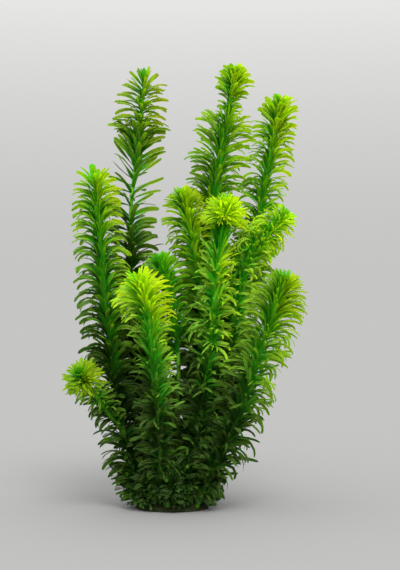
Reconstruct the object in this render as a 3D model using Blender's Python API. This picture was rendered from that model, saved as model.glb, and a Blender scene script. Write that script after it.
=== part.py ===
"""Brazilian waterweed: a clump of leafy shoots that grew from one root crown.

The crown is cut off flat where it stood in the ground, and the plant rests on that cut. Lengths are in
metres, with +Z up and the origin at the middle of the cut. +Y points away from the viewer. Each shoot is
one solid: a square stem with a whorl of four arching blades on its sides at every node.
"""

import math
import random
from collections import namedtuple

import bmesh
import bpy
from mathutils import Matrix, Vector
from mathutils.bvhtree import BVHTree
from mathutils.geometry import interpolate_bezier

MM = 0.001

# Root crown
CROWN_HALF_WIDTH = 27 * MM
CROWN_HALF_DEPTH = 21 * MM
CROWN_HEIGHT = 11 * MM
CROWN_LUMP = 0.7 * MM
CROWN_LUMPS = 5

# The hollows in it, which the shoots stand in
FOOT_DEPTH = 2.6 * MM
HOLLOW_SIDES = 6
HOLLOW_CUT_HEIGHT = 13 * MM
GAP = 0.35 * MM

# Stems
STEM_RADIUS_AT_FOOT = 1.7 * MM
STEM_RADIUS_AT_TIP = 1.1 * MM
STEM_SIDES = 4
BUD_LENGTH = 3.5 * MM
CURVE_STEPS = 10

# Whorls, counted down from the growing tip
FIRST_WHORL = 1.5 * MM
TIP_SPACING = 4 * MM
SPACING_GROWTH = 1.3
MATURE_SPACING = 20.5 * MM
BARE_FOOT = 10 * MM
BARE_FORK = 6 * MM
MATURE_AT = 50 * MM
WHORL_TURN = math.radians(45)
WHORL_TURN_SPREAD = math.radians(9)

# Leaves. The angles are up from level, where a leaf starts and where it ends.
LEAF_THICKNESS = 0.9 * MM
LEAF_HALF_WIDTH = 3.1 * MM
LeafForm = namedtuple("LeafForm", "start end length width")
SPEAR_TIP = LeafForm(math.radians(74), math.radians(56), 0.56, 0.7)
MOP_TIP = LeafForm(math.radians(60), math.radians(2), 0.74, 0.8)
MATURE = LeafForm(math.radians(32), math.radians(-32), 1.0, 1.0)
ANGLE_SPREAD = math.radians(7)
SEED = 7

# How leaves keep clear of their neighbours and the ground: one that would meet them is drawn shorter
CLEARANCE = 0.45 * MM
LOWEST_LEAF = 1.2 * MM
SHORTER = (1.0, 0.8, 0.62)
GUARD_RINGS = 25
GUARD_SIDES = 6

# Materials
LEAF_COLOURS = {
    "yellow_green": (0.42, 0.62, 0.03, 1),
    "leaf_green": (0.20, 0.45, 0.03, 1),
    "deep_green": (0.08, 0.32, 0.03, 1),
}
LEAF_ROUGHNESS = 0.45
CROWN_COLOUR = (0.07, 0.09, 0.03, 1)
CROWN_ROUGHNESS = 0.8

# One row for each shoot: its name, its colour, how long its mature leaves are, how far its tip has opened
# from a spear to a mop, and the points that its stem passes. A route that starts with two numbers has its
# foot in the crown, at that X and Y.
Shoot = namedtuple("Shoot", "name green leaf_length openness route")
SHOOTS = [
    Shoot("shoot_tall_left", "leaf_green", 27, 0.2, [
        (-14, 8), (-22, 14, 70), (-30, 21, 145), (-33, 28, 210), (-29, 31, 262), (-22, 34, 324)]),
    Shoot("shoot_tall_centre", "leaf_green", 25, 0.5, [
        (5, 11), (14, 16, 64), (20, 23, 132), (26, 28, 194), (36, 32, 262), (48, 34, 328)]),
    Shoot("shoot_tall_right", "leaf_green", 27, 0.8, [
        (17, 7), (29, 11, 70), (43, 15, 124), (58, 18, 178), (71, 21, 245), (82, 22, 302)]),
    Shoot("shoot_left", "leaf_green", 28, 0.7, [
        (-23, -2), (-32, -4, 40), (-42, -6, 92), (-49, -7, 150), (-54, -7, 205), (-57, -6, 243)]),
    Shoot("shoot_inner_centre", "deep_green", 21, 0.4, [
        (3, -3), (12, 0, 50), (20, 3, 108), (23, 5, 158), (16, 6, 197), (9, 5, 231)]),
    Shoot("shoot_yellow_crown", "yellow_green", 26, 0.9, [
        (11, -10), (19, -14, 52), (26, -18, 104), (31, -20, 152), (35, -21, 193), (40, -21, 223)]),
    Shoot("shoot_bent_right", "yellow_green", 22, 0.8, [
        (20, -5), (28, -8, 46), (38, -10, 92), (45, -11, 136), (52, -12, 176), (64, -14, 198),
        (81, -16, 215)]),
    Shoot("shoot_green_centre", "deep_green", 22, 0.8, [
        (-4, 1), (2, 2, 52), (5, 0, 96), (3, -3, 132), (-3, -5, 158), (-8, -6, 181)]),
    Shoot("shoot_front", "yellow_green", 28, 0.8, [
        (-8, -12), (-8, -21, 34), (-10, -29, 70), (-12, -37, 110), (-15, -42, 140), (-21, -47, 163)]),
    Shoot("shoot_low_right", "leaf_green", 26, 0.9, [
        (18, -13), (36, -21, 42), (48, -27, 70), (61, -32, 109), (70, -35, 135), (80, -38, 164)]),
    Shoot("shoot_back_left", "leaf_green", 24, 0.6, [
        (-7, 16), (-12, 29, 50), (-17, 41, 103), (-22, 49, 154)]),
    Shoot("shoot_back_right", "leaf_green", 24, 0.6, [
        (12, 16), (22, 29, 55), (34, 42, 115), (43, 50, 168)]),
]

# A side shoot grows from the side of another: its parent, how high up the fork is, and the points after it.
FORK_PARENT = "shoot_left"
FORK_HEIGHT = 58 * MM
FORK_REACH = 3.1 * MM
SIDE_SHOOT = Shoot("side_shoot_low_left", "yellow_green", 21, 0.9, [
    (-47, -13, 72), (-55, -21, 85), (-61, -30, 95), (-64, -38, 101)])


def clear_scene():
    for obj in list(bpy.data.objects):
        bpy.data.objects.remove(obj)


def make_material(name, colour, roughness):
    material = bpy.data.materials.new(name)
    material.use_nodes = True
    shader = material.node_tree.nodes["Principled BSDF"]
    shader.inputs["Base Color"].default_value = colour
    shader.inputs["Roughness"].default_value = roughness
    shader.inputs["Metallic"].default_value = 0
    return material


def add_object(name, mesh_builder, material):
    """Turns a bmesh into a named object with one material."""
    bmesh.ops.recalc_face_normals(mesh_builder, faces=mesh_builder.faces)
    mesh = bpy.data.meshes.new(name)
    mesh_builder.to_mesh(mesh)
    mesh_builder.free()
    mesh.materials.append(material)
    obj = bpy.data.objects.new(name, mesh)
    bpy.context.scene.collection.objects.link(obj)
    return obj


def blend(start, end, share):
    return start + (end - start) * share


class Stem:
    """A shoot's centre line, with frames that follow it without twisting about it."""

    def __init__(self, points):
        self.path = self.smooth_path(points)
        self.reached = [0.0]
        for start, end in zip(self.path, self.path[1:]):
            self.reached.append(self.reached[-1] + (end - start).length)
        self.length = self.reached[-1]
        headings = [(end - start).normalized() for start, end in zip(self.path, self.path[1:])]
        headings.append(headings[-1])
        side = headings[0].orthogonal().normalized()
        self.frames = []
        for before, heading in zip([headings[0], *headings], headings):
            side = before.rotation_difference(heading) @ side
            self.frames.append((side.copy(), heading))

    @staticmethod
    def smooth_path(points):
        """Points along a smooth curve through the given ones."""
        ends = [points[0] * 2 - points[1], *points, points[-1] * 2 - points[-2]]
        path = []
        for before, start, end, after in zip(ends, ends[1:], ends[2:], ends[3:]):
            start_handle = start + (end - before) / 6
            end_handle = end - (after - start) / 6
            path += interpolate_bezier(start, start_handle, end_handle, end, CURVE_STEPS + 1)[:-1]
        return [*path, points[-1]]

    def frame(self, distance, turn):
        """The matrix at a distance from the foot, with Z along the stem, turned about it."""
        index = 0
        while index < len(self.path) - 2 and self.reached[index + 1] < distance:
            index += 1
        along = (distance - self.reached[index]) / (self.reached[index + 1] - self.reached[index])
        place = self.path[index].lerp(self.path[index + 1], along)
        side, heading = self.frames[index]
        forward = heading.cross(side)
        axes = Matrix((side, forward, heading)).transposed().to_4x4()
        return Matrix.Translation(place) @ axes @ Matrix.Rotation(turn, 4, "Z")

    def radius(self, distance):
        return blend(STEM_RADIUS_AT_FOOT, STEM_RADIUS_AT_TIP, distance / self.length)


def crown_top(x, y):
    """The height of the crown's smooth dome over a point of the ground."""
    inside = 1 - (x / CROWN_HALF_WIDTH) ** 2 - (y / CROWN_HALF_DEPTH) ** 2
    return CROWN_HEIGHT * math.sqrt(max(0, inside))


def stem_of(shoot):
    """The centre line of a shoot that stands in the crown."""
    foot, *rest = shoot.route
    x, y = (value * MM for value in foot)
    points = [Vector((x, y, crown_top(x, y) - FOOT_DEPTH))]
    points += [Vector(point) * MM for point in rest]
    return Stem(points)


def side_stem(shoot, parent):
    """The centre line of a shoot that forks from the side of its parent."""
    fork = min(parent.path, key=lambda point: abs(point.z - FORK_HEIGHT))
    rest = [Vector(point) * MM for point in shoot.route]
    sideways = ((rest[0] - fork) * Vector((1, 1, 0))).normalized()
    return Stem([fork + sideways * FORK_REACH, *rest])


def whorl_places(length, bare):
    """Distances from the foot at which the whorls stand, with how old each is, from the foot up."""
    places = []
    below_tip, spacing = FIRST_WHORL, TIP_SPACING
    while length - below_tip > bare:
        places.append((length - below_tip, min(1.0, below_tip / MATURE_AT)))
        below_tip += spacing
        spacing = min(MATURE_SPACING, spacing * SPACING_GROWTH)
    return places[::-1]


def form_at(openness, age):
    """The form of a leaf of this age on a shoot whose tip has opened this far."""
    young = [blend(spear, mop, openness) for spear, mop in zip(SPEAR_TIP, MOP_TIP)]
    return LeafForm(*(blend(early, late, age) for early, late in zip(young, MATURE)))


def leaf_steps(base, widen, form, length):
    """The matrix that carries a leaf's base face to its middle, and the point where the leaf ends.

    base is the frame of the face: X across the leaf, Y towards the shoot's tip and Z outwards."""
    half = length / 2
    middle = Vector((0, math.sin(form.start) * half, math.cos(form.start) * half))
    tip = middle + Vector((0, math.sin(form.end) * half, math.cos(form.end) * half))
    lean = Matrix.Rotation(-(form.start + form.end) / 2, 4, "X")
    widening = Matrix.Diagonal((widen, 1, 1, 1))
    to_middle = base @ Matrix.Translation(middle) @ lean @ widening @ base.inverted()
    return to_middle, base @ tip


def probe_of(corners, to_middle, tip):
    """A search tree of the leaf that these steps would make, grown by the clearance."""
    centre = sum(corners, Vector()) / len(corners)
    base = [corner + (corner - centre).normalized() * CLEARANCE for corner in corners]
    far_centre = to_middle @ centre
    far = []
    for corner in corners:
        moved = to_middle @ corner
        far.append(moved + (moved - far_centre).normalized() * CLEARANCE)
    beyond = tip + (tip - far_centre).normalized() * CLEARANCE
    points = [*base, *far, beyond]
    faces = []
    for index in range(4):
        following = (index + 1) % 4
        faces.append((index, following, 4 + following, 4 + index))
        faces.append((4 + index, 4 + following, 8))
    return BVHTree.FromPolygons(points, faces), points


def free_of(probe, points, obstacles):
    if min(point.z for point in points) < LOWEST_LEAF:
        return False
    return not any(probe.overlap(obstacle) for obstacle in obstacles)


def grow_leaf(builder, face, frame, form, full_length, obstacles):
    """Draws a blade out of one side face of the stem, shorter where it would meet a neighbour.

    Returns a search tree of the blade, or None where no length is free."""
    centre = face.calc_center_median()
    heading = frame.col[2].xyz
    outward = (centre - frame.translation).normalized()
    outward = (outward - heading * outward.dot(heading)).normalized()
    across = heading.cross(outward)
    base = Matrix.Translation(centre) @ Matrix((across, heading, outward)).transposed().to_4x4()
    half_side = max(abs((vert.co - centre).dot(across)) for vert in face.verts)
    corners = [vert.co.copy() for vert in face.verts]
    for share in SHORTER:
        to_middle, tip = leaf_steps(
            base, LEAF_HALF_WIDTH * form.width / half_side, form, full_length * form.length * share
        )
        probe, points = probe_of(corners, to_middle, tip)
        if free_of(probe, points, obstacles):
            break
    else:
        return None
    blade = bmesh.ops.extrude_discrete_faces(builder, faces=[face])["faces"][0]
    bmesh.ops.transform(builder, matrix=to_middle, verts=blade.verts)
    point = bmesh.ops.extrude_discrete_faces(builder, faces=[blade])["faces"][0]
    bmesh.ops.pointmerge(builder, verts=point.verts, merge_co=tip)
    return probe


def grow_whorl(builder, sides, frame, form, full_length, obstacles, dice):
    """Draws a blade out of each side face, and returns their search trees."""
    probes = []
    for side in sides:
        start = form.start + dice.uniform(-ANGLE_SPREAD, ANGLE_SPREAD)
        end = form.end + dice.uniform(-ANGLE_SPREAD, ANGLE_SPREAD)
        own_form = form._replace(start=start, end=end)
        probes.append(grow_leaf(builder, side, frame, own_form, full_length, obstacles))
    return [probe for probe in probes if probe]


def extend(builder, face, stem, start, end):
    """Draws the stem on from one ring to the next. Rings are pairs of distance and turn."""
    made = bmesh.ops.extrude_face_region(builder, geom=[face, *face.edges])["geom"]
    top = next(part for part in made if isinstance(part, bmesh.types.BMFace))
    grown = stem.radius(end[0]) / stem.radius(start[0])
    carry = stem.frame(*end) @ Matrix.Scale(grown, 4) @ stem.frame(*start).inverted()
    bmesh.ops.transform(builder, matrix=carry, verts=top.verts)
    return top


def sides_under(top):
    return [face for edge in top.edges for face in edge.link_faces if face is not top]


def grow_shoot(shoot, stem, bare, obstacles, dice):
    """The whole shoot as a bmesh: the stem first, and then the blades out of its sides."""
    builder = bmesh.new()
    ring = (0.0, dice.uniform(0, math.tau))
    bmesh.ops.create_circle(
        builder, cap_ends=True, segments=STEM_SIDES, radius=stem.radius(0), matrix=stem.frame(*ring)
    )
    face = builder.faces[:][0]
    whorls = []
    for distance, age in whorl_places(stem.length, bare):
        turn = ring[1] + WHORL_TURN + dice.uniform(-WHORL_TURN_SPREAD, WHORL_TURN_SPREAD)
        below = (distance, turn)
        face = extend(builder, face, stem, ring, below)
        ring = (distance + LEAF_THICKNESS, turn)
        face = extend(builder, face, stem, below, ring)
        whorls.append((sides_under(face), stem.frame(*below), age))
    bud = (stem.length + BUD_LENGTH, ring[1])
    face = extend(builder, face, stem, ring, bud)
    bmesh.ops.pointmerge(builder, verts=face.verts, merge_co=stem.frame(*bud).translation)
    in_the_way = list(obstacles)
    for sides, frame, age in whorls:
        form = form_at(shoot.openness, age)
        length = shoot.leaf_length * MM
        in_the_way += grow_whorl(builder, sides, frame, form, length, in_the_way, dice)
    return builder


def guard_tree(stem):
    """A search tree of the bare stem, a little thicker than it is, for other shoots' leaves to keep off."""
    builder = bmesh.new()
    rings = [stem.length * step / (GUARD_RINGS - 1) for step in range(GUARD_RINGS)]
    radius = stem.radius(0) + CLEARANCE
    bmesh.ops.create_circle(
        builder, cap_ends=True, segments=GUARD_SIDES, radius=radius, matrix=stem.frame(0, 0)
    )
    face = builder.faces[:][0]
    for start, end in zip(rings, rings[1:]):
        face = extend(builder, face, stem, (start, 0), (end, 0))
    tree = BVHTree.FromBMesh(builder)
    builder.free()
    return tree


def foot_cutter(stems):
    """The hollows that the shoots' feet stand in, as one mesh of separate prisms."""
    builder = bmesh.new()
    radius = (STEM_RADIUS_AT_FOOT + GAP) / math.cos(math.pi / HOLLOW_SIDES)
    for stem in stems:
        middle = stem.frame(0, 0) @ Matrix.Translation((0, 0, HOLLOW_CUT_HEIGHT / 2 - GAP))
        bmesh.ops.create_cone(
            builder,
            cap_ends=True,
            segments=HOLLOW_SIDES,
            radius1=radius,
            radius2=radius,
            depth=HOLLOW_CUT_HEIGHT,
            matrix=middle,
        )
    cutter = add_object("foot_cutter", builder, None)
    cutter.hide_render = True
    cutter.display_type = "WIRE"
    return cutter


def make_crown(material, cutter):
    """A low lumpy dome, cut flat at the ground, with a hollow for each foot."""
    builder = bmesh.new()
    bmesh.ops.create_icosphere(builder, subdivisions=2, radius=1)
    for vert in builder.verts:
        bearing = math.atan2(vert.co.y, vert.co.x)
        lump = CROWN_LUMP * math.cos(CROWN_LUMPS * bearing) * vert.co.xy.length
        vert.co.x *= CROWN_HALF_WIDTH + lump
        vert.co.y *= CROWN_HALF_DEPTH + lump
        vert.co.z *= CROWN_HEIGHT
    whole = builder.verts[:] + builder.edges[:] + builder.faces[:]
    ground = bmesh.ops.bisect_plane(
        builder, geom=whole, plane_co=(0, 0, 0), plane_no=(0, 0, -1), clear_outer=True
    )
    rim = [part for part in ground["geom_cut"] if isinstance(part, bmesh.types.BMEdge)]
    bmesh.ops.contextual_create(builder, geom=rim)
    crown = add_object("root_crown", builder, material)
    feet = crown.modifiers.new("feet", "BOOLEAN")
    feet.operation = "DIFFERENCE"
    feet.object = cutter
    return crown


def main():
    clear_scene()
    dice = random.Random(SEED)
    leaf_materials = {
        name: make_material(name, colour, LEAF_ROUGHNESS) for name, colour in LEAF_COLOURS.items()
    }
    stems = {shoot.name: stem_of(shoot) for shoot in SHOOTS}
    cutter = foot_cutter(stems.values())
    crown = make_crown(make_material("crown_brown", CROWN_COLOUR, CROWN_ROUGHNESS), cutter)
    stems[SIDE_SHOOT.name] = side_stem(SIDE_SHOOT, stems[FORK_PARENT])

    guards = {name: guard_tree(stem) for name, stem in stems.items()}
    grown = [BVHTree.FromObject(crown, bpy.context.evaluated_depsgraph_get())]
    for shoot in [*SHOOTS, SIDE_SHOOT]:
        others = [tree for name, tree in guards.items() if name != shoot.name]
        bare = BARE_FORK if shoot is SIDE_SHOOT else BARE_FOOT
        builder = grow_shoot(shoot, stems[shoot.name], bare, grown + others, dice)
        grown.append(BVHTree.FromBMesh(builder))
        add_object(shoot.name, builder, leaf_materials[shoot.green])


main()
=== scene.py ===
"""The looks of a Brazilian waterweed: leafy shoots that stand on the flat cut of their root crown.

Every shoot gets a round stem with swollen nodes, and at each node a whorl of thin arching leaves. Lengths
are in metres unless a name or a note says otherwise. +Z is up and +Y points away from the camera.
"""

import math
import random
from collections import namedtuple

import bmesh
import bpy
from mathutils import Matrix, Vector, noise
from mathutils.bvhtree import BVHTree
from mathutils.geometry import interpolate_bezier


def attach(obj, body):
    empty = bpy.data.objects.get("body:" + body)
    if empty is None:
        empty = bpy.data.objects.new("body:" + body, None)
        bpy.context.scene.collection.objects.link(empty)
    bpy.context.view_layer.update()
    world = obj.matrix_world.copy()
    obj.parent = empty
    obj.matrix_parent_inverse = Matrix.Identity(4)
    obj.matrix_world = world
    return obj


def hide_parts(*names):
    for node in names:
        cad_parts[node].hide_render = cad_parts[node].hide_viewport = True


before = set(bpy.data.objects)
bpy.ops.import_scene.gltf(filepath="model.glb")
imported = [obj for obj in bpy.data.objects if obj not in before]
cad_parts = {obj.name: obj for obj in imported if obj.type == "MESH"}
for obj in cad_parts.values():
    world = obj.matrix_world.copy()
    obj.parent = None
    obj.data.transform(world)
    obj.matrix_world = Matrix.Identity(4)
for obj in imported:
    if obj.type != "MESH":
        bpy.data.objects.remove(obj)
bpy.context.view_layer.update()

MM = 0.001

# Root crown, as the solids have it
CROWN_HALF_WIDTH = 27 * MM
CROWN_HALF_DEPTH = 21 * MM
CROWN_HEIGHT = 11 * MM
FOOT_DEPTH = 2.6 * MM
# The share of that height that its dome has, its lumps, and the collar that rises round each foot
CROWN_DOME_SHARE = 0.92
LUMP_SCALE = 3.2
LUMP_HEIGHT = 0.05
COLLAR_HEIGHT = 2.2 * MM
COLLAR_RADIUS = 2.6 * MM

# Stems
STEM_RADIUS_AT_FOOT = 1.7 * MM
STEM_RADIUS_AT_TIP = 1.2 * MM
STEM_SIDES = 10
NODE_SWELLING = 1.22
NODE_HALF_LENGTH = 0.9 * MM
CURVE_STEPS = 12
BUD_LENGTH = 1.6 * MM
BUD_WIDTHS = (0.9, 0.5)
LEAST_RING_GAP = 0.2 * MM
BARE_FOOT = 3 * MM
BARE_FORK = 6 * MM

# Leaves: their thickness and cup are shares of their half width
LEAF_HALF_WIDTH = 1.75 * MM
LEAF_THICKNESS = 0.06
RING_THICKNESS = 0.8
LEAF_CUP = 0.24
# How far from the middle of the stem a leaf starts, as a share of the stem's radius
LEAF_ROOT_SHARE = 0.7
# Age runs from 0 at the growing tip to 1. It grows on the way down to OLD_AT; below SHADE_HEIGHT painted
# shade adds to it, by these amounts, and on the lit side painted light takes from it, to darken and lighten
# the colour.
OLD_AT = 130 * MM
AGE_AT_OLD = 0.75
OLD_STEM_AT = 240 * MM
SHADE_HEIGHT = 120 * MM
PAINTED_SHADE_AGE = 0.6
STEM_PAINTED_SHADE_AGE = 1.5
# The side where painted light lightens the leaves, and by how much
PAINTED_LIGHT_SIDE = (1, -0.3, 0)
PAINTED_LIGHT_SHARE = 0.2
# What a leaf keeps clear of, how far out it counts as reaching far, how short it is near the ground, and
# the shares of its length that are tried until it is clear
STEM_CLEARANCE = 2.0 * MM
GROUND_CLEARANCE = 1.8 * MM
FAR_REACH = 15 * MM
LONG_LEAF = 22 * MM
SHORT_AT_GROUND = 0.42
FULL_LENGTH_HEIGHT = 40 * MM
SHORTER = (1.0, 0.8, 0.62, 0.45)

# How far leaves stray in a tidy whorl, in degrees either way
Stray = namedtuple("Stray", "start end front sway roll twist")
STRAY = Stray(start=9, end=22, front=20, sway=26, roll=28, twist=22)
# The shares of their length and width that leaves have, and what the least length loses where they stray
LENGTH_RANGE = (0.96, 1.08)
LENGTH_LOSS = 0.09
WIDTH_RANGE = (0.85, 1.12)
# How far the number of leaves in a whorl, the whorl's turn and a leaf's heading, both in radians, and the
# leaf's place along the stem stray
COUNT_STRAY = 0.6
WHORL_TURN_STRAY = 0.12
HEADING_STRAY = 0.16
ROOT_STRAY = 0.7 * MM
# The leaves of a bunch lean up or down together by up to this many degrees, and their ends by a multiple
BUNCH_LEAN = 7
END_LEAN = 1.5
SPACING_RANGE = (0.92, 1.08)
# The sprouts' dice start from this number, and each shoot's from one of those after it
SEED = 11

# Whorls stand in bunches: each step to the next whorl as a share of the mean step
BUNCH = (0.75, 0.7, 0.95, 1.6)
# Where leaves stray by this much, the whorls are no longer bunched, and the leaves turn to the light by
# this much less
EVEN_AT = 2.6
CARELESS = 0.6
# Leaves turn their upper face this way, except where they bend so far that they curl into rings. They turn
# by this share and by no more than this many radians, sooner along the leaf the higher the pace, and less
# where they point straight at the light.
LEAF_FACING = (0.15, -1, 1.05)
FACING_TURN = 0.9
MOST_FACING_TURN = 1.2
FACING_PACE = 1.6
FACING_FADE = 1.4
RING_BEND = 130
# Leaves that would droop on the front of the plant set out and end at angles of their own instead, by this
# share, and look this much shorter and narrower
FRONT_SHARE = 0.85
FRONT_LENGTH = 0.78
FRONT_WIDTH = 0.75
FRONT_START = 34
FRONT_START_RISE = 0.8
STEEPEST_START = 84
# How late a leaf bends along its length, and how late one that ends in a ring does
BEND_POWER = 1.3
RING_POWER = 1.5

# A blade's outline: how far along it is, and its width there as a share of the full width
BLADE_OUTLINE = (
    (0.0, 0.5), (0.08, 0.72), (0.2, 0.92), (0.38, 1.0), (0.6, 1.0),
    (0.8, 0.94), (0.92, 0.76), (0.98, 0.46),
)
RING_STEPS = 18

# A habit says how a shoot's leaves change from its growing tip down. Each row is a place, in millimetres
# below the tip, with the spacing of whorls, the number of leaves in a whorl, the length of leaves and their
# width as a share of the full width there, the angles above level, in degrees, at which a leaf sets out and
# ends, the angle at which leaves on the front end, how much leaves stray from all this, and how much
# painted shade darkens them beyond their place, as under a cap; below nothing it is painted light. Between
# rows they change evenly.
Row = namedtuple("Row", "below_tip spacing count length width start end front stray older", defaults=(0,))
SPEAR = (
    Row(0, 1.8, 3, 13, 0.8, 84, 80, 80, 0.6), Row(3, 1.8, 5, 16, 0.95, 62, 44, 60, 0.7),
    Row(7, 2.2, 6, 18, 1.0, 44, 10, 40, 0.7), Row(14, 2.7, 6, 20, 1.05, 36, -20, 20, 0.8),
    Row(28, 3.0, 6, 22, 1.1, 32, -36, 0, 0.8), Row(42, 3.2, 6, 24, 1.15, 30, -32, 0, 0.8),
    Row(47, 2.4, 7, 25, 1.15, 50, 20, 30, 1), Row(60, 2.8, 7, 25, 1.2, 48, 18, 30, 1),
    Row(66, 5.4, 4, 25, 1.15, 34, 24, 30, 1.3), Row(98, 5.4, 4, 26, 1.15, 34, 14, 20, 1.4),
    Row(118, 4.2, 5, 26, 1.1, 44, -16, 10, 1.4), Row(150, 2.5, 9, 27, 1, 44, -34, 0, 2),
    Row(320, 2.7, 9, 26, 1, 42, -50, 0, 2),
)
STAR = (
    Row(0, 2.6, 3, 14, 1.4, 80, 70, 70, 0.7), Row(2.6, 2.8, 5, 17, 1.45, 58, 34, 56, 0.8),
    Row(5.4, 2.8, 6, 20, 1.45, 46, -14, 50, 0.7), Row(8.2, 2.6, 5, 14, 1.0, 56, -10, 76, 0.6),
    Row(12, 1.8, 7, 21, 1.1, 56, -34, 78, 0.6), Row(26, 2.3, 7, 23, 1.0, 62, -56, 80, 0.6),
    Row(60, 2.5, 7, 25, 1.0, 62, -60, 80, 0.6), Row(120, 2.5, 8, 26, 1.0, 56, -60, 50, 1.4),
    Row(150, 2.4, 9, 26, 0.9, 48, -52, 20, 2.2), Row(300, 2.7, 9, 27, 0.85, 46, -60, 0, 2),
)
NECKED = (
    Row(0, 2.0, 5, 12, 1.4, 84, 56, 76, 0.6), Row(3, 1.9, 7, 15, 1.5, 66, 26, 66, 0.8),
    Row(8, 1.9, 8, 18, 1.5, 54, 6, 58, 0.9), Row(14, 1.9, 8, 18, 1.4, 48, -6, 54, 0.9),
    Row(19, 2.2, 6, 13, 1.2, 48, -6, 66, 0.8, 0.1), Row(23, 2.1, 6, 11, 0.9, 46, -6, 70, 0.8, 0.2),
    Row(35, 2.1, 6, 12, 0.85, 46, -10, 70, 0.8, 0.2), Row(38, 2.3, 7, 17, 0.95, 46, -8, 72, 0.9, 0.1),
    Row(42, 2.0, 8, 25, 0.95, 44, 2, 74, 0.9), Row(55, 2.2, 8, 28, 0.95, 48, -12, 74, 1.0),
    Row(75, 2.2, 8, 28, 0.92, 50, -28, 70, 1.2), Row(105, 2.4, 8, 28, 0.9, 50, -36, 60, 1.5),
    Row(200, 3.0, 7, 25, 0.85, 44, -44, 10, 2.2), Row(320, 3.6, 6, 25, 0.9, 44, -44, 0, 1.6),
)
FRILLED = (
    Row(0, 2.2, 4, 13, 1.5, 84, 60, 74, 0.5), Row(3, 2.2, 5, 16, 1.7, 70, 40, 64, 0.6),
    Row(8, 2.3, 6, 19, 1.85, 58, 24, 56, 0.6), Row(13, 2.3, 7, 20, 1.8, 50, 8, 52, 0.7),
    Row(18, 2.2, 7, 20, 1.5, 46, -10, 60, 0.8), Row(23, 2.2, 7, 18, 1.1, 50, -26, 74, 0.8),
    Row(28, 2.4, 7, 19, 1.0, 54, -42, 78, 0.8), Row(45, 2.6, 7, 22, 1, 56, -50, 76, 0.8),
    Row(120, 2.8, 7, 24, 0.9, 48, -46, 40, 2), Row(300, 3.6, 6, 25, 0.9, 46, -46, 0, 1.6),
)
MOP = (
    Row(0, 0.8, 8, 11, 0.65, 80, 50, 76, 0.8), Row(5, 0.9, 9, 16, 0.7, 62, 18, 70, 0.8),
    Row(11, 1.2, 9, 20, 0.7, 50, -10, 66, 0.9), Row(20, 1.8, 8, 22, 0.75, 48, -30, 60, 1),
    Row(34, 2.1, 9, 23, 0.7, 46, -36, 50, 1.8), Row(60, 2.1, 9, 23, 0.65, 42, -36, 30, 3),
    Row(300, 2.9, 7, 25, 0.8, 44, -44, 10, 1.8),
)
BUSH = (
    Row(0, 0.9, 6, 13, 0.6, 84, 70, 70, 1), Row(6, 1.1, 8, 18, 0.65, 66, 30, 50, 1.2),
    Row(14, 1.6, 8, 22, 0.7, 54, -6, 36, 1.4), Row(26, 1.9, 9, 25, 0.75, 46, -26, 30, 1.8),
    Row(50, 2.0, 10, 27, 0.8, 44, -34, 20, 2.2), Row(300, 2.6, 9, 26, 0.9, 44, -40, 0, 1.8),
)
DOME = (
    Row(0, 0.4, 10, 12, 0.4, 80, 56, 76, 2.0), Row(3, 0.4, 13, 16, 0.4, 58, 18, 60, 2.3),
    Row(6, 0.42, 15, 19, 0.4, 46, -2, 26, 2.3), Row(9, 0.45, 15, 20, 0.4, 36, -24, -18, 1.8),
    Row(11.5, 0.6, 15, 18, 0.4, 26, -44, -46, 1.2), Row(13, 1.5, 9, 17, 0.5, 82, 76, 82, 0.4, 0.3),
    Row(37, 1.8, 9, 21, 0.5, 78, 66, 78, 0.7, 0.25), Row(44, 1.8, 10, 21, 0.5, 52, -10, 30, 2.6),
    Row(70, 1.8, 11, 21, 0.5, 40, -36, 10, 3.8), Row(130, 2.1, 9, 22, 0.58, 42, -36, 20, 3.4),
    Row(300, 3.0, 7, 25, 0.8, 44, -44, 10, 2.2),
)
RINGLETS = (
    Row(0, 0.8, 8, 12, 0.55, 78, 20, 60, 1.2), Row(5, 0.9, 8, 17, 0.55, 62, -30, 50, 2.2),
    Row(12, 1.1, 9, 19, 0.55, 58, -46, 40, 2.6), Row(26, 1.2, 10, 20, 0.55, 56, -46, 40, 3),
    Row(50, 1.6, 10, 22, 0.55, 52, -44, 40, 3.4), Row(70, 2.0, 9, 24, 0.6, 48, -44, 30, 3.6),
    Row(300, 2.8, 8, 25, 0.75, 44, -44, 10, 2.8),
)
FOUNTAIN = (
    Row(0, 0.7, 7, 17, 0.5, 84, 46, 82, 1.1), Row(5, 0.75, 10, 22, 0.5, 72, 4, 78, 1.3),
    Row(10, 0.85, 10, 26, 0.5, 60, -28, 72, 1.4), Row(16, 1.0, 10, 26, 0.5, 54, -44, 70, 1.4, 0.02),
    Row(22, 1.3, 9, 23, 0.5, 54, -36, 70, 1.6, 0.08), Row(30, 1.6, 9, 20, 0.46, 62, 24, 60, 2.0, 0.14),
    Row(58, 1.6, 9, 22, 0.44, 56, 10, 46, 2.8, 0.16), Row(78, 1.7, 10, 23, 0.46, 50, -12, 30, 3.4, 0.2),
    Row(96, 1.9, 9, 23, 0.5, 46, -30, 20, 3.6, 0.25), Row(150, 2.1, 9, 23, 0.55, 44, -36, 10, 3.4, 0.3),
    Row(300, 2.8, 8, 25, 0.7, 44, -48, 0, 2.4, 0.2),
)
CASCADE = (
    Row(0, 0.7, 8, 15, 0.5, 82, 52, 80, 0.8), Row(4, 0.7, 10, 19, 0.5, 72, 24, 76, 0.8),
    Row(9, 0.8, 10, 23, 0.52, 66, -6, 74, 0.8), Row(16, 1.0, 10, 25, 0.56, 62, -36, 74, 0.8),
    Row(26, 1.5, 9, 27, 0.62, 60, -56, 66, 0.9), Row(45, 1.8, 9, 27, 0.62, 52, -50, 45, 2.2),
    Row(80, 2.0, 9, 27, 0.62, 44, -34, 30, 3.4), Row(300, 2.8, 8, 27, 0.78, 44, -44, 0, 2.8),
)
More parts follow.
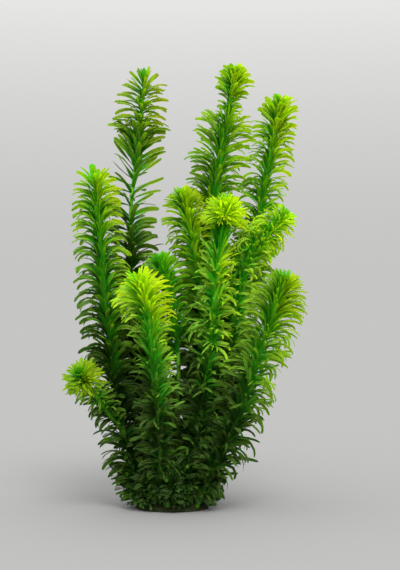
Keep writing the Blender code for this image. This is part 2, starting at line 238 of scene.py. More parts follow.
FACING = (
    Row(0, 0.7, 7, 9, 0.52, 82, 66, 66, 0.9, 0.22), Row(3, 0.6, 10, 13, 0.54, 60, 42, 50, 1.1, 0.16),
    Row(6, 0.6, 12, 16, 0.56, 44, 14, 24, 1.3, 0.05), Row(9.5, 0.75, 12, 18, 0.56, 28, -12, -4, 1.4),
    Row(12, 2.0, 6, 16, 0.5, 30, -26, 0, 2, 0.3), Row(60, 3.0, 5, 14, 0.65, 44, -42, 0, 2, 0.4),
)
SPROUT = (
    Row(0, 1.2, 5, 13, 0.5, 80, 56, 56, 1.4), Row(4, 1.5, 7, 16, 0.5, 60, 10, 16, 1.8),
    Row(9, 1.8, 8, 18, 0.54, 42, -36, -24, 1.8), Row(60, 2.2, 8, 19, 0.58, 28, -56, -44, 1.8),
)

# Camera
LENS_LENGTH = 80
SENSOR_WIDTH = 36
CAMERA_PLACE = (0.021, -0.95, 0.167)

# Light. The key light shines along its direction from a disc as wide as its softness in degrees. The sky
# behind the floor's far edge has the horizon's strength and grows to the zenith's.
KEY_DIRECTION = (-0.2, 0.75, -1)
KEY_SOFTNESS = 26
KEY_POWER = 2.4
FILL_DIRECTION = (0.15, 1, -0.3)
FILL_SOFTNESS = 60
FILL_POWER = 0.9
HORIZON_LIGHT = 0.56
ZENITH_LIGHT = 2.5
SKY_SHARE = 0.7
FLOOR_HALF_SIZE = 40

# One row for each shoot: its name, colour and habit, the age of its youngest leaves, and the points that
# its stem passes, in millimetres, which are the solids' own. A route that starts with two numbers has its
# foot in the crown.
Shoot = namedtuple("Shoot", "name green habit youngest route")
SHOOTS = (
    Shoot("shoot_tall_left", "olive_green", SPEAR, 0.14, (
        (-14, 8), (-22, 14, 70), (-30, 21, 145), (-33, 28, 210), (-29, 31, 262), (-22, 34, 324))),
    Shoot("shoot_tall_centre", "leaf_green", NECKED, 0, (
        (5, 11), (14, 16, 64), (20, 23, 132), (26, 28, 194), (36, 32, 262), (48, 34, 328))),
    Shoot("shoot_tall_right", "leaf_green", FRILLED, 0, (
        (17, 7), (29, 11, 70), (43, 15, 124), (58, 18, 178), (71, 21, 245), (82, 22, 302))),
    Shoot("shoot_left", "leaf_green", STAR, 0.12, (
        (-23, -2), (-32, -4, 40), (-42, -6, 92), (-49, -7, 150), (-54, -7, 205), (-57, -6, 243))),
    Shoot("shoot_inner_centre", "leaf_green", MOP, 0.07, (
        (3, -3), (12, 0, 50), (20, 3, 108), (23, 5, 158), (16, 6, 197), (9, 5, 231))),
    Shoot("shoot_yellow_crown", "yellow_green", DOME, 0, (
        (11, -10), (19, -14, 52), (26, -18, 104), (31, -20, 152), (35, -21, 193), (40, -21, 223))),
    Shoot("shoot_bent_right", "yellow_green", RINGLETS, 0.18, (
        (20, -5), (28, -8, 46), (38, -10, 92), (45, -11, 136), (52, -12, 176), (64, -14, 198),
        (81, -16, 215))),
    Shoot("shoot_green_centre", "deep_green", MOP, 0.16, (
        (-4, 1), (2, 2, 52), (5, 0, 96), (3, -3, 132), (-3, -5, 158), (-8, -6, 181))),
    Shoot("shoot_front", "yellow_green", FOUNTAIN, 0, (
        (-8, -12), (-8, -21, 34), (-10, -29, 70), (-12, -37, 110), (-15, -42, 140), (-21, -47, 163))),
    Shoot("shoot_low_right", "leaf_green", CASCADE, 0.15, (
        (18, -13), (36, -21, 42), (48, -27, 70), (61, -32, 109), (70, -35, 135), (80, -38, 164))),
    Shoot("shoot_back_left", "leaf_green", BUSH, 0.05, (
        (-7, 16), (-12, 29, 50), (-17, 41, 103), (-22, 49, 154))),
    Shoot("shoot_back_right", "leaf_green", BUSH, 0.05, (
        (12, 16), (22, 29, 55), (34, 42, 115), (43, 50, 168))),
)
# Some leaves on this side of the ringlet shoot are narrow and curl right round. A leaf is on this side
# where it points within this cosine of it. Then come their share, the form that they take, how far they
# roll, and the stretch below the tip, in millimetres, where they grow.
RING_SIDE = (-0.7, -0.3, 0.65)
RING_SIDE_COSINE = 0.72
RING_SHARE = 0.5
RING_FORM = Row(0, 1, 1, 34, 0.32, 50, -330, -330, 0.8, -0.2)
RING_ROLL = 8
RING_STRETCH = (8, 62)
FORK_PARENT = "shoot_left"
FORK_HEIGHT = 58 * MM
SIDE_SHOOT = Shoot("side_shoot_low_left", "leaf_green", FACING, 0.0, (
    (-47, -13, 72), (-55, -21, 85), (-61, -30, 95), (-64, -38, 101)))

# Short sprouts on the crown: how many, how far from its middle they stand, how far out and up they reach,
# how much their middle rises, and their age, set old so that they are dark, partly as painted shade at the
# crown
SPROUTS = 44
SPROUT_OUT = (0.5, 1.0)
SPROUT_TURN_STRAY = 0.3
SPROUT_REACH = (3.5 * MM, 11 * MM)
SPROUT_HEIGHT = (5 * MM, 24 * MM)
SPROUT_ARCH = 1 * MM
SPROUT_AGE_AND_SHADE = 0.75

# The slot of the record that a green belongs to, leaf colours close to the stem, kept bright as painted
# light for the shaded core, and far out, yellower as painted light where leaves reach into the light, each
# from the growing tip to the oldest leaves, the colour of the light that comes through a leaf, and the age
# by which most of that light is gone.
Palette = namedtuple("Palette", "slot inner outer glow dim_at")
PALETTES = {
    "yellow_green": Palette("yellow_green",
        ((0.56, 0.84, 0.004, 1), (0.024, 0.48, 0.003, 1), (0.014, 0.27, 0.002, 1), (0.003, 0.03, 0.001, 1)),
        ((0.92, 0.84, 0.006, 1), (0.42, 0.68, 0.006, 1), (0.12, 0.35, 0.005, 1), (0.006, 0.04, 0.002, 1)),
        (0.74, 0.94, 0.01, 1), 0.55),
    "leaf_green": Palette("leaf_green",
        ((0.50, 0.70, 0.005, 1), (0.035, 0.44, 0.003, 1), (0.014, 0.26, 0.002, 1), (0.003, 0.03, 0.001, 1)),
        ((0.74, 0.68, 0.01, 1), (0.39, 0.53, 0.01, 1), (0.13, 0.31, 0.008, 1), (0.006, 0.04, 0.002, 1)),
        (0.55, 0.80, 0.015, 1), 1.2),
    "olive_green": Palette("leaf_green",
        ((0.38, 0.60, 0.007, 1), (0.04, 0.40, 0.004, 1), (0.016, 0.25, 0.003, 1), (0.003, 0.03, 0.001, 1)),
        ((0.58, 0.57, 0.014, 1), (0.33, 0.43, 0.014, 1), (0.13, 0.28, 0.010, 1), (0.007, 0.038, 0.002, 1)),
        (0.42, 0.61, 0.014, 1), 1.1),
    "deep_green": Palette("deep_green",
        ((0.12, 0.60, 0.004, 1), (0.02, 0.38, 0.003, 1), (0.012, 0.21, 0.002, 1), (0.003, 0.024, 0.001, 1)),
        ((0.46, 0.60, 0.010, 1), (0.24, 0.44, 0.010, 1), (0.08, 0.26, 0.006, 1), (0.006, 0.034, 0.002, 1)),
        (0.32, 0.78, 0.01, 1), 0.9),
}
# The ages that a palette's four colours belong to, and colours that all palettes share
STAGES = (0.0, 0.22, 0.6, 1.0)
# A painted highlight for the leaves' rims
PAINTED_RIM_LIGHT = (0.68, 0.78, 0.28, 1)
OLIVE = (0.26, 0.24, 0.03, 1)
BROWN = (0.05, 0.045, 0.010, 1)


class Channel:
    """What a socket gives. Arithmetic on it adds Math nodes to its finish."""

    def __init__(self, finish, socket):
        self.finish = finish
        self.socket = socket

    def math(self, operation, first, second):
        return self.finish.node("ShaderNodeMath", {"operation": operation}, {0: first, 1: second})

    def __add__(self, other):
        return self.math("ADD", self, other)

    def __radd__(self, other):
        return self.math("ADD", other, self)

    def __sub__(self, other):
        return self.math("SUBTRACT", self, other)

    def __rsub__(self, other):
        return self.math("SUBTRACT", other, self)

    def __mul__(self, other):
        return self.math("MULTIPLY", self, other)

    def __rmul__(self, other):
        return self.math("MULTIPLY", other, self)


class Finish:
    """A material in the making. Every node that it doesn't start with comes from node()."""

    def __init__(self, name):
        self.material = bpy.data.materials.new(name)
        self.material.use_nodes = True
        self.tree = self.material.node_tree
        self.shader = self.tree.nodes["Principled BSDF"]
        self.result = self.tree.nodes["Material Output"]

    def node(self, kind, settings=None, sockets=None, output=0):
        made = self.tree.nodes.new(kind)
        for name, value in (settings or {}).items():
            if name == "stops":
                self.set_stops(made.color_ramp.elements, value)
            else:
                setattr(made, name, value)
        self.feed(made, sockets or {})
        return Channel(self, made.outputs[output])

    def feed(self, made, sockets):
        for key, value in sockets.items():
            if isinstance(value, Channel):
                self.tree.links.new(value.socket, made.inputs[key])
            else:
                made.inputs[key].default_value = value

    @staticmethod
    def set_stops(elements, stops):
        while len(elements) < len(stops):
            elements.new(1.0)
        for element, (place, colour) in zip(elements, stops):
            element.position = place
            element.color = colour

    def attribute(self, name):
        return self.node("ShaderNodeAttribute", {"attribute_name": name}, output="Fac")

    def ramp(self, value, stops):
        return self.node("ShaderNodeValToRGB", {"stops": stops}, {0: value})

    def mix(self, first, second, share):
        sockets = {0: share, 6: first, 7: second}
        return self.node("ShaderNodeMix", {"data_type": "RGBA"}, sockets, output=2)

    def step(self, value, low, high):
        """0 below low, 1 above high, and a soft step between."""
        settings = {"interpolation_type": "SMOOTHSTEP"}
        return self.node("ShaderNodeMapRange", settings, {0: value, 1: low, 2: high, 3: 0.0, 4: 1.0})

    def grain(self, scale, detail, stretch=(1, 1, 1)):
        """Noise in the object's own coordinates, where scale is in lumps per metre."""
        place = self.node("ShaderNodeTexCoord", output="Object")
        spread = self.node("ShaderNodeMapping", {}, {"Vector": place, "Scale": stretch})
        return self.node("ShaderNodeTexNoise", {}, {"Vector": spread, "Scale": scale, "Detail": detail})

    def bump(self, height, distance, strength):
        sockets = {"Height": height, "Distance": distance, "Strength": strength}
        return self.node("ShaderNodeBump", {}, sockets)


def leaf_finish(name, palette):
    """Thin living leaf: yellow-green when young, deep green when old and where shade is painted, yellower
    far out as painted light, with a painted highlight along the rim.
    """
    finish = Finish(name)
    age = finish.attribute("age")
    reach = finish.attribute("reach")
    across = finish.attribute("across")
    tint = finish.attribute("tint")
    cloud = finish.grain(110, 2)
    cells = finish.grain(1500, 2)
    stage = age + (cloud - 0.5) * 0.2 + (tint - 0.5) * 0.2
    # Painted light: far out from the stem the leaves take the yellower outer colours as if lit, and close
    # in the inner greens, kept bright to stand for light through the shaded core
    inner, outer = (
        finish.ramp(stage, list(zip(STAGES, colours))) for colours in (palette.inner, palette.outer))
    reach_in_light = finish.step(reach + (cloud - 0.5) * 0.3, 0.25, 0.95)
    green = finish.mix(inner, outer, reach_in_light)
    grown = finish.step(age, 0.0, 0.3)
    olive = finish.step(tint, 0.7, 1.0) * reach_in_light * finish.step(age, 0.05, 0.3) * (0.25 - age * 0.25)
    green = finish.mix(green, OLIVE, olive)
    green = finish.mix(green, BROWN, finish.step(age * cloud, 0.55, 0.8) * 0.3)
    # Painted highlight along the rim of the leaf, strongest on grown leaves far out
    rim = finish.step(across, 0.5, 0.95)
    rim_highlight = rim * (0.2 + grown * 0.5 - age * 0.5) * (0.2 + reach_in_light * 0.8)
    green = finish.mix(green, PAINTED_RIM_LIGHT, rim_highlight)
    ribbing = finish.node("ShaderNodeMath", {"operation": "SINE"}, {0: across * 22.0})
    relief = finish.bump(cells * 0.6 + ribbing * 0.35, 0.00012, 0.5)
    finish.feed(finish.shader, {
        "Base Color": green, "Roughness": 0.4 + cells * 0.2, "Normal": relief, "Metallic": 0.0,
        "Specular IOR Level": 0.08})
    through = finish.node("ShaderNodeBsdfTranslucent", {}, {"Color": palette.glow})
    share = (0.56 + reach_in_light * 0.3) * (1 - rim * 0.4) * (1 - finish.step(age, 0.0, palette.dim_at) * 0.75)
    finish.feed(finish.result, {"Surface": finish.node(
        "ShaderNodeMixShader", {}, {0: share, 1: Channel(finish, finish.shader.outputs[0]), 2: through})})
    return finish.material


def stem_finish():
    """A smooth green stem, paler and yellower towards its tip and darker down its length, with painted
    shade that makes it dark and dull at the foot.
    """
    finish = Finish("stem_green")
    age = finish.attribute("age")
    node = finish.attribute("node")
    cloud = finish.grain(160, 3)
    green = finish.ramp(age + (cloud - 0.5) * 0.25, [
        (0.0, (0.14, 0.50, 0.006, 1)),
        (0.5, (0.08, 0.33, 0.006, 1)),
        (1.0, (0.008, 0.05, 0.003, 1)),
    ])
    green = finish.mix(green, (0.16, 0.34, 0.01, 1), node * 0.3)
    fibre = finish.grain(700, 2, (1, 1, 0.08))
    finish.feed(finish.shader, {
        "Base Color": green, "Roughness": 0.4 + fibre * 0.2, "Metallic": 0.0, "Specular IOR Level": 0.2,
        "Normal": finish.bump(fibre, 0.0002, 0.5)})
    finish.shader.inputs["Subsurface Weight"].default_value = 0.15
    finish.shader.inputs["Subsurface Radius"].default_value = (0.4, 1.0, 0.2)
    finish.shader.inputs["Subsurface Scale"].default_value = 0.001
    return finish.material


def crown_finish():
    """Fibrous tissue with brown scars, painted nearly black-green as shade at the plant's foot."""
    finish = Finish("root_crown_fibre")
    lumps = finish.grain(220, 4)
    fibre = finish.grain(1400, 3, (1, 1, 0.3))
    # Painted shade: the tissue is nearly black because the plant's foot lies in shade
    brown = finish.ramp(lumps, [
        (0.3, (0.006, 0.012, 0.003, 1)),
        (0.55, (0.015, 0.022, 0.005, 1)),
        (0.75, (0.04, 0.034, 0.011, 1)),
    ])
    finish.feed(finish.shader, {
        "Base Color": brown, "Roughness": 0.7 + fibre * 0.25, "Metallic": 0.0, "Specular IOR Level": 0.1,
        "Normal": finish.bump(lumps * 0.6 + fibre * 0.4, 0.0008, 0.8)})
    return finish.material


def floor_finish():
    """Matt, and as grey as makes it just as bright as the horizon."""
    key = -KEY_POWER / math.pi * Vector(KEY_DIRECTION).normalized().z
    fill = -FILL_POWER / math.pi * Vector(FILL_DIRECTION).normalized().z
    sky = blend(HORIZON_LIGHT, ZENITH_LIGHT, SKY_SHARE)
    grey = HORIZON_LIGHT / (sky + key + fill)
    finish = Finish("pale_floor")
    finish.feed(finish.shader, {
        "Base Color": (grey, grey, grey * 0.995, 1), "Roughness": 0.9, "Specular IOR Level": 0.0})
    return finish.material


def blend(start, end, share):
    return start + (end - start) * share


class Stem:
    """A shoot's centre line, with frames that follow it without twisting about it."""

    def __init__(self, points):
        self.path = self.smooth_path(points)
        self.reached = [0.0]
        for start, end in zip(self.path, self.path[1:]):
            self.reached.append(self.reached[-1] + (end - start).length)
        self.length = self.reached[-1]
        headings = [(end - start).normalized() for start, end in zip(self.path, self.path[1:])]
        headings.append(headings[-1])
        side = headings[0].orthogonal().normalized()
        self.frames = []
        for before, heading in zip([headings[0], *headings], headings):
            side = before.rotation_difference(heading) @ side
            self.frames.append((side.copy(), heading))

    @staticmethod
    def smooth_path(points):
        """Points along a smooth curve through the given ones."""
        ends = [points[0] * 2 - points[1], *points, points[-1] * 2 - points[-2]]
        path = []
        for before, start, end, after in zip(ends, ends[1:], ends[2:], ends[3:]):
            start_handle = start + (end - before) / 6
            end_handle = end - (after - start) / 6
            path += interpolate_bezier(start, start_handle, end_handle, end, CURVE_STEPS + 1)[:-1]
        return [*path, points[-1]]

    def frame(self, distance, turn):
        """The matrix at a distance from the foot, with Z along the stem, turned about it."""
        index = 0
        while index < len(self.path) - 2 and self.reached[index + 1] < distance:
            index += 1
        along = (distance - self.reached[index]) / (self.reached[index + 1] - self.reached[index])
        place = self.path[index].lerp(self.path[index + 1], along)
        side, heading = self.frames[index]
        share = max(0.0, min(1.0, along))
        heading = heading.lerp(self.frames[index + 1][1], share).normalized()
        side = (side - heading * side.dot(heading)).normalized()
        axes = Matrix((side, heading.cross(side), heading)).transposed().to_4x4()
        return Matrix.Translation(place) @ axes @ Matrix.Rotation(turn, 4, "Z")

    def radius(self, distance):
        return blend(STEM_RADIUS_AT_FOOT, STEM_RADIUS_AT_TIP, distance / self.length)


def crown_top(x, y):
    """The height of the crown's smooth dome over a point of the ground."""
    inside = 1 - (x / CROWN_HALF_WIDTH) ** 2 - (y / CROWN_HALF_DEPTH) ** 2
    return CROWN_HEIGHT * math.sqrt(max(0, inside))


def stem_of(shoot):
    """The centre line of a shoot that stands in the crown."""
    foot, *rest = shoot.route
    x, y = (value * MM for value in foot)
    points = [Vector((x, y, crown_top(x, y) - FOOT_DEPTH))]
    points += [Vector(point) * MM for point in rest]
    return Stem(points)


def side_stem(shoot, parent):
    """The centre line of a shoot that forks from the middle of its parent."""
    fork = min(parent.path, key=lambda point: abs(point.z - FORK_HEIGHT))
    return Stem([fork, *(Vector(point) * MM for point in shoot.route)])


def row_at(habit, below_tip):
    """The habit's row for a place in millimetres below the tip."""
    if below_tip >= habit[-1].below_tip:
        return habit[-1]
    upper, lower = next(
        (upper, lower) for upper, lower in zip(habit, habit[1:]) if below_tip < lower.below_tip
    )
    share = (below_tip - upper.below_tip) / (lower.below_tip - upper.below_tip)
    return Row(*(blend(high, low, share) for high, low in zip(upper, lower)))


def extend(builder, face, carry):
    """Draws a closed tube on by one ring, which the matrix carries into place."""
    made = bmesh.ops.extrude_face_region(builder, geom=[face, *face.edges])["geom"]
    top = next(part for part in made if isinstance(part, bmesh.types.BMFace))
    bmesh.ops.transform(builder, matrix=carry, verts=top.verts)
    return top


def add_piece(name, builder, material, node):
    """Turns a bmesh into a smooth piece that rides on the plant, in place of the node's solid."""
    bmesh.ops.recalc_face_normals(builder, faces=builder.faces)
    mesh = bpy.data.meshes.new(name)
    builder.to_mesh(mesh)
    builder.free()
    mesh.shade_smooth()
    mesh.materials.append(material)
    piece = bpy.data.objects.new(name, mesh)
    bpy.context.scene.collection.objects.link(piece)
    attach(piece, "root")
    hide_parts(node)


# A blade is a mesh and the places along it where it has points. A ring needs more of them than a flat leaf.
Blade = namedtuple("Blade", "mesh places")
Blades = namedtuple("Blades", "flat ring")


def width_at(place):
    """The blade's width at a share of its length, as a share of its full width."""
    for (start, width), (end, next_width) in zip(BLADE_OUTLINE, BLADE_OUTLINE[1:]):
        if place <= end:
            return blend(width, next_width, (place - start) / (end - start))
    return BLADE_OUTLINE[-1][1]


def make_blade(places, thickness):
    """One flat leaf along Y, one unit long and one in half width, as a mesh that every leaf copies.

    Seen from its end it is a flat diamond.
    """
    builder = bmesh.new()
    bmesh.ops.create_circle(
        builder, cap_ends=True, segments=4, radius=1, matrix=Matrix.Rotation(math.radians(90), 4, "X")
    )
    bmesh.ops.scale(builder, vec=(width_at(0), 1, thickness), verts=builder.verts)
    face = builder.faces[:][0]
    for start, end in zip(places, places[1:]):
        share = width_at(end) / width_at(start)
        carry = Matrix.Translation((0, end - start, 0)) @ Matrix.Diagonal((share, 1, share ** 0.5, 1))
        face = extend(builder, face, carry)
    face = extend(builder, face, Matrix.Translation((0, 1 - places[-1], 0)))
    bmesh.ops.pointmerge(builder, verts=face.verts, merge_co=(0, 1, 0))
    bmesh.ops.recalc_face_normals(builder, faces=builder.faces)
    # Smooth across the midrib and sharp along the rim
    for edge in builder.edges:
        edge.smooth = any(abs(vert.co.x) < 0.01 and vert.co.y < 1 for vert in edge.verts)
    for vert in builder.verts:
        vert.co.z += LEAF_CUP * vert.co.x ** 2
        vert.co.y = min((*places, 1.0), key=lambda place: abs(place - vert.co.y))
    mesh = bpy.data.meshes.new("blade")
    builder.to_mesh(mesh)
    builder.free()
    return Blade(mesh, places)


def arch_of(root, form, places):
    """Frames along an arching leaf, for every place where its blade has points.

    root has X pointing out of the stem and Z along it. Each frame has X across the leaf, Y along it and Z
    out of its upper face.
    """
    frames = {}
    origin = Vector()
    reached = 0.0
    for place in (*places, 1.0):
        middle = (reached + place) / 2
        origin = origin + leaf_axes(form, middle)[1] * (place - reached) * form.length
        across, along, up = leaf_axes(form, place)
        axes = Matrix((across, along, up)).transposed().to_4x4()
        frames[round(place, 3)] = root @ Matrix.Translation(origin) @ axes
        reached = place
    return frames


def leaf_axes(form, place):
    """The directions across, along and out of a leaf at a share of its length."""
    lift = blend(form.start, form.end, place ** form.bend)
    turn = form.sway * place
    along = Vector((math.cos(lift) * math.cos(turn), math.cos(lift) * math.sin(turn), math.sin(lift)))
    across = Vector((math.sin(turn), -math.cos(turn), 0))
    up = across.cross(along)
    facing = form.facing - along * form.facing.dot(along)
    turning = math.atan2(facing.dot(across), facing.dot(up)) * min(1.0, facing.length * FACING_FADE)
    turning = max(-MOST_FACING_TURN, min(MOST_FACING_TURN, turning))
    turning *= FACING_TURN * min(1.0, place * FACING_PACE)
    twist = form.roll + form.twist * place - turning
    leaning = across * math.cos(twist) + up * math.sin(twist)
    return leaning, along, leaning.cross(along)


LeafForm = namedtuple("LeafForm", "length half_width start end bend sway roll twist facing")


def evenness(row):
    """From 0 where whorls stand in tidy bunches to 1 where they are spread evenly."""
    return max(0.0, min(1.0, (row.stray - 1) / (EVEN_AT - 1)))


def leaf_form(row, lean, root, dice):
    """A leaf's own form, near the one that its place on the shoot gives, its bunch's lean added."""

    def stray(most):
        return dice.uniform(-most, most) * row.stray

    start = row.start + lean + stray(STRAY.start)
    end = row.end + lean * END_LEAN + stray(STRAY.end)
    front = row.front + stray(STRAY.front)
    front_start = min(STEEPEST_START, FRONT_START + front * FRONT_START_RISE)
    is_ring = start - end > RING_BEND
    lifted = FRONT_SHARE * max(0.0, -root.col[0].y) if end < front else 0.0
    facing = Vector() if is_ring else Vector(LEAF_FACING).normalized() * (1 - CARELESS * evenness(row))
    low = max(0.0, 1 - root.translation.z / FULL_LENGTH_HEIGHT)
    shorter = blend(1, FRONT_LENGTH, lifted) * blend(1, SHORT_AT_GROUND, low)
    shortest, longest = LENGTH_RANGE
    return LeafForm(
        length=row.length * MM * dice.uniform(shortest - LENGTH_LOSS * row.stray, longest) * shorter,
        half_width=LEAF_HALF_WIDTH * row.width * dice.uniform(*WIDTH_RANGE) * blend(1, FRONT_WIDTH, lifted),
        start=math.radians(blend(start, front_start, lifted)),
        end=math.radians(blend(end, front, lifted)),
        bend=RING_POWER if is_ring else BEND_POWER,
        sway=math.radians(stray(STRAY.sway)),
        roll=math.radians(stray(STRAY.roll) + (RING_ROLL if is_ring else 0)),
        twist=math.radians(stray(STRAY.twist)),
        facing=root.to_3x3().transposed() @ facing,
    )


def is_clear(frames, stems):
    """Whether a leaf keeps off the ground and the other shoots' stems."""
    for axes in frames.values():
        point = axes.translation
        if point.z < GROUND_CLEARANCE:
            return False
        if any(stem.find_nearest(point, STEM_CLEARANCE)[0] for stem in stems):
            return False
    return True


def add_leaf(builder, layers, blade, root, form, age, tint, stems):
    """Copies the blade and bends it along its arch. A leaf that would meet a stem is shorter."""
    for share in SHORTER:
        shorter = form._replace(length=form.length * share)
        frames = arch_of(root, shorter, blade.places)
        if is_clear(frames, stems):
            break
    else:
        return
    to_root = root.inverted()
    far = FAR_REACH * min(1.0, form.length / LONG_LEAF)
    first = len(builder.verts)
    builder.from_mesh(blade.mesh)
    builder.verts.ensure_lookup_table()
    for vert in builder.verts[first:]:
        x, y, z = vert.co
        vert.co = frames[round(y, 3)] @ Vector((x * form.half_width, 0, z * form.half_width))
        vert[layers["reach"]] = min(1.0, (to_root @ vert.co).xy.length / far)
        vert[layers["across"]] = abs(x)
        vert[layers["age"]] = age
        vert[layers["tint"]] = tint


def leaf_age_and_shade(below_tip, root):
    """From 0 at the growing tip to 1 far below it, with painted shade near the ground and painted light on
    the lit side.
    """
    # Painted shade: leaves are darkened near the ground
    shade = max(0.0, 1 - root.translation.z / SHADE_HEIGHT)
    # Painted light: leaves that point to the lit side are lightened
    painted_light = root.col[0].xyz.dot(Vector(PAINTED_LIGHT_SIDE).normalized())
    return AGE_AT_OLD * below_tip / OLD_AT + PAINTED_SHADE_AGE * shade - PAINTED_LIGHT_SHARE * painted_light


def may_curl(below_tip, root):
    """Whether a leaf that sets out here can end in a ring."""
    side = root.col[0].xyz.dot(Vector(RING_SIDE).normalized())
    return side > RING_SIDE_COSINE and RING_STRETCH[0] < below_tip / MM < RING_STRETCH[1]


def leaf_builder():
    """An empty bmesh for leaves, and the layers that their finish reads."""
    builder = bmesh.new()
    names = ("reach", "across", "age", "tint")
    return builder, {name: builder.verts.layers.float.new(name) for name in names}


def grow_leaves(builder, layers, shoot, stem, bare, blades, stems, dice):
    """Adds the leaves of a shoot, and says where their whorls stand."""
    places = []
    below_tip = 0.0
    turn = dice.uniform(0, math.tau)
    lean = 0.0
    while stem.length - below_tip > bare:
        row = row_at(shoot.habit, below_tip / MM)
        distance = stem.length - below_tip
        bunch = BUNCH[len(places) % len(BUNCH)]
        step = blend(bunch, 1, evenness(row))
        places.append(distance)
        count = round(row.count + dice.uniform(-COUNT_STRAY, COUNT_STRAY))
        turn += math.radians(180 / count) + dice.uniform(-WHORL_TURN_STRAY, WHORL_TURN_STRAY)
        for index in range(count):
            heading = turn + math.tau * index / count
            heading += dice.uniform(-HEADING_STRAY, HEADING_STRAY) * row.stray
            higher = dice.uniform(-ROOT_STRAY, ROOT_STRAY)
            out = Matrix.Translation((stem.radius(distance) * LEAF_ROOT_SHARE, 0, higher))
            root = stem.frame(distance, heading) @ out
            # Painted shade and painted light go into the age that sets the leaf's colour
            age = shoot.youngest + row.older + leaf_age_and_shade(below_tip, root)
            if shoot.habit is RINGLETS and may_curl(below_tip, root) and dice.random() < RING_SHARE:
                blade, form = blades.ring, leaf_form(RING_FORM, 0, root, dice)
                # Ringlets are lightened with painted light
                age += RING_FORM.older
            else:
                blade, form = blades.flat, leaf_form(row, lean, root, dice)
            add_leaf(builder, layers, blade, root, form, max(0.0, min(1.0, age)), dice.random(), stems)
        if bunch == max(BUNCH):
            lean = dice.uniform(-BUNCH_LEAN, BUNCH_LEAN) * row.stray
        below_tip += row.spacing * step * MM * dice.uniform(*SPACING_RANGE)
    return places


def grow_sprouts(blades, stems, dice):
    """The leaves of short sprouts all over the crown, which hide it."""
    builder, layers = leaf_builder()
    for index in range(SPROUTS):
        turn = math.tau * (index + dice.uniform(-SPROUT_TURN_STRAY, SPROUT_TURN_STRAY)) / SPROUTS
        out = dice.uniform(*SPROUT_OUT)
        x = CROWN_HALF_WIDTH * out * math.cos(turn)
        y = CROWN_HALF_DEPTH * out * math.sin(turn)
        foot = Vector((x, y, crown_top(x, y) - FOOT_DEPTH))
        reach = dice.uniform(*SPROUT_REACH) * out
        rise = dice.uniform(*SPROUT_HEIGHT)
        tip = foot + Vector((reach * math.cos(turn), reach * math.sin(turn), rise + FOOT_DEPTH))
        sprout = Shoot("sprout", "deep_green", SPROUT, SPROUT_AGE_AND_SHADE, ())
        stem = Stem([foot, foot.lerp(tip, 0.5) + Vector((0, 0, SPROUT_ARCH)), tip])
        grow_leaves(builder, layers, sprout, stem, FOOT_DEPTH, blades, stems, dice)
    return builder


def grow_stem(stem, places):
    """A round stem, swollen at its nodes and closed by a bud."""
    builder = bmesh.new()
    age_layer = builder.verts.layers.float.new("age")
    node_layer = builder.verts.layers.float.new("node")
    rings = [(0.0, 1.0, 0.0)]
    for place in reversed(places):
        for offset, swelling, is_node in ((-1, 1.0, 0.0), (0, NODE_SWELLING, 1.0), (1, 1.0, 0.0)):
            distance = place + offset * NODE_HALF_LENGTH
            if rings[-1][0] + LEAST_RING_GAP < distance < stem.length:
                rings.append((distance, swelling, is_node))
    for further, width in zip((0, BUD_LENGTH), BUD_WIDTHS):
        rings.append((stem.length + further, width, 0.0))
    bmesh.ops.create_circle(
        builder, cap_ends=True, segments=STEM_SIDES, radius=stem.radius(0), matrix=stem.frame(0, 0)
    )
    face = builder.faces[:][0]
    for (start, thick, _), (end, thicker, is_node) in zip(rings, rings[1:]):
        grown = (stem.radius(end) * thicker) / (stem.radius(start) * thick)
        carry = stem.frame(end, 0) @ Matrix.Scale(grown, 4) @ stem.frame(start, 0).inverted()
        face = extend(builder, face, carry)
        for vert in face.verts:
            # Painted shade: the stem darkens near the ground
            shade = max(0.0, 1 - vert.co.z / SHADE_HEIGHT)
            age = max(0.0, stem.length - end) / OLD_STEM_AT + shade * STEM_PAINTED_SHADE_AGE
            vert[age_layer] = min(1.0, age)
            vert[node_layer] = is_node
    return builder


def stem_tree(stem):
    """A search tree of the bare stem."""
    builder = grow_stem(stem, [])
    tree = BVHTree.FromBMesh(builder)
    builder.free()
    return tree


def make_crown(feet):
    """The crown: a lumpy dome that rises in a collar round every foot and is cut flat at the ground."""
    builder = bmesh.new()
    bmesh.ops.create_icosphere(builder, subdivisions=6, radius=1)
    for vert in builder.verts:
        rough = noise.fractal(vert.co * LUMP_SCALE, 1.0, 2.0, 4)
        vert.co *= 1 + LUMP_HEIGHT * rough
        vert.co.x *= CROWN_HALF_WIDTH
        vert.co.y *= CROWN_HALF_DEPTH
        vert.co.z *= CROWN_HEIGHT * CROWN_DOME_SHARE
        near = min((vert.co.xy - foot).length for foot in feet)
        if vert.co.z > 0:
            vert.co.z += COLLAR_HEIGHT * math.exp(-((near / COLLAR_RADIUS) ** 2))
    whole = builder.verts[:] + builder.edges[:] + builder.faces[:]
    ground = bmesh.ops.bisect_plane(
        builder, geom=whole, plane_co=(0, 0, 0), plane_no=(0, 0, -1), clear_outer=True
    )
    rim = [part for part in ground["geom_cut"] if isinstance(part, bmesh.types.BMEdge)]
    bmesh.ops.contextual_create(builder, geom=rim)
    return builder


def make_floor():
    builder = bmesh.new()
    bmesh.ops.create_grid(builder, x_segments=1, y_segments=1, size=FLOOR_HALF_SIZE)
    mesh = bpy.data.meshes.new("floor")
    builder.to_mesh(mesh)
    builder.free()
    mesh.materials.append(floor_finish())
    floor = bpy.data.objects.new("floor", mesh)
    bpy.context.scene.collection.objects.link(floor)


def add_sun(name, direction, softness, power):
    """A far light that shines along a direction, with shadows as soft as its size in degrees makes them."""
    light = bpy.data.lights.new(name, "SUN")
    light.angle = math.radians(softness)
    light.energy = power
    lamp = bpy.data.objects.new(name, light)
    lamp.rotation_euler = Vector(direction).to_track_quat("-Z", "Y").to_euler()
    bpy.context.scene.collection.objects.link(lamp)


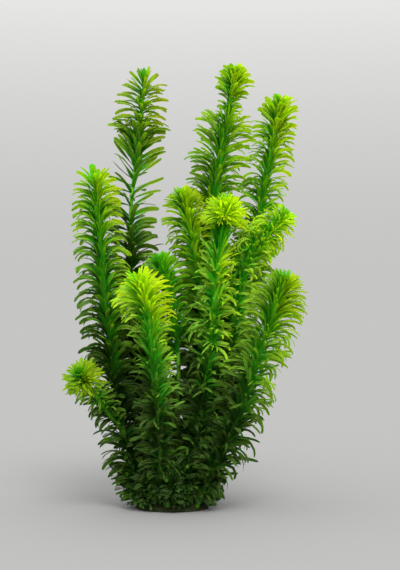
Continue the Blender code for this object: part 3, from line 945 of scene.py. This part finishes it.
def make_lights():
    """Two soft far lights, and a sky that is brightest above and as bright as the floor at the horizon."""
    add_sun("soft_key", KEY_DIRECTION, KEY_SOFTNESS, KEY_POWER)
    add_sun("soft_fill", FILL_DIRECTION, FILL_SOFTNESS, FILL_POWER)
    world = bpy.data.worlds.new("studio")
    world.use_nodes = True
    tree = world.node_tree
    place = tree.nodes.new("ShaderNodeTexCoord")
    height = tree.nodes.new("ShaderNodeSeparateXYZ")
    rise = tree.nodes.new("ShaderNodeMapRange")
    rise.interpolation_type = "SMOOTHSTEP"
    rise.inputs["To Min"].default_value = HORIZON_LIGHT
    rise.inputs["To Max"].default_value = ZENITH_LIGHT
    tree.links.new(place.outputs["Generated"], height.inputs[0])
    tree.links.new(height.outputs["Z"], rise.inputs["Value"])
    tree.links.new(rise.outputs[0], tree.nodes["Background"].inputs["Strength"])
    tree.nodes["Background"].inputs["Color"].default_value = (1.0, 1.0, 0.985, 1)
    bpy.context.scene.world = world
    # The default transform would dull the greens
    bpy.context.scene.view_settings.view_transform = "Standard"


def make_camera():
    """The photograph's view: level with the middle of the plant and about a metre off."""
    lens = bpy.data.cameras.new("camera")
    lens.lens = LENS_LENGTH
    lens.sensor_width = SENSOR_WIDTH
    lens.clip_start = 0.01
    camera = bpy.data.objects.new("camera", lens)
    camera.location = CAMERA_PLACE
    camera.rotation_euler = (math.radians(90), 0, 0)
    bpy.context.scene.collection.objects.link(camera)
    bpy.context.scene.camera = camera


def main():
    make_camera()
    make_lights()
    make_floor()
    leaf_finishes = {name: leaf_finish(f"{name}_leaf", palette) for name, palette in PALETTES.items()}
    bark = stem_finish()

    stems = {shoot.name: stem_of(shoot) for shoot in SHOOTS}
    feet = [Vector(shoot.route[0]) * MM for shoot in SHOOTS]
    add_piece("root_crown_fibrous", make_crown(feet), crown_finish(), "root_crown")
    stems[SIDE_SHOOT.name] = side_stem(SIDE_SHOOT, stems[FORK_PARENT])

    blades = Blades(
        make_blade([place for place, width in BLADE_OUTLINE], LEAF_THICKNESS),
        make_blade([step / RING_STEPS for step in range(RING_STEPS)], RING_THICKNESS))
    trees = {name: stem_tree(stem) for name, stem in stems.items()}
    for number, shoot in enumerate([*SHOOTS, SIDE_SHOOT], SEED + 1):
        # Each shoot has dice of its own, so a change to one leaves the others as they are
        dice = random.Random(number)
        others = [tree for name, tree in trees.items() if name != shoot.name]
        bare = BARE_FORK if shoot is SIDE_SHOOT else BARE_FOOT
        leaves, layers = leaf_builder()
        places = grow_leaves(leaves, layers, shoot, stems[shoot.name], bare, blades, others, dice)
        add_piece(f"{shoot.name}_leaves", leaves, leaf_finishes[shoot.green], shoot.name)
        add_piece(f"{shoot.name}_stem", grow_stem(stems[shoot.name], places), bark, shoot.name)
    sprouts = grow_sprouts(blades, list(trees.values()), random.Random(SEED))
    add_piece("crown_sprout_leaves", sprouts, leaf_finishes["deep_green"], "root_crown")
    for blade in blades:
        bpy.data.meshes.remove(blade.mesh)


main()
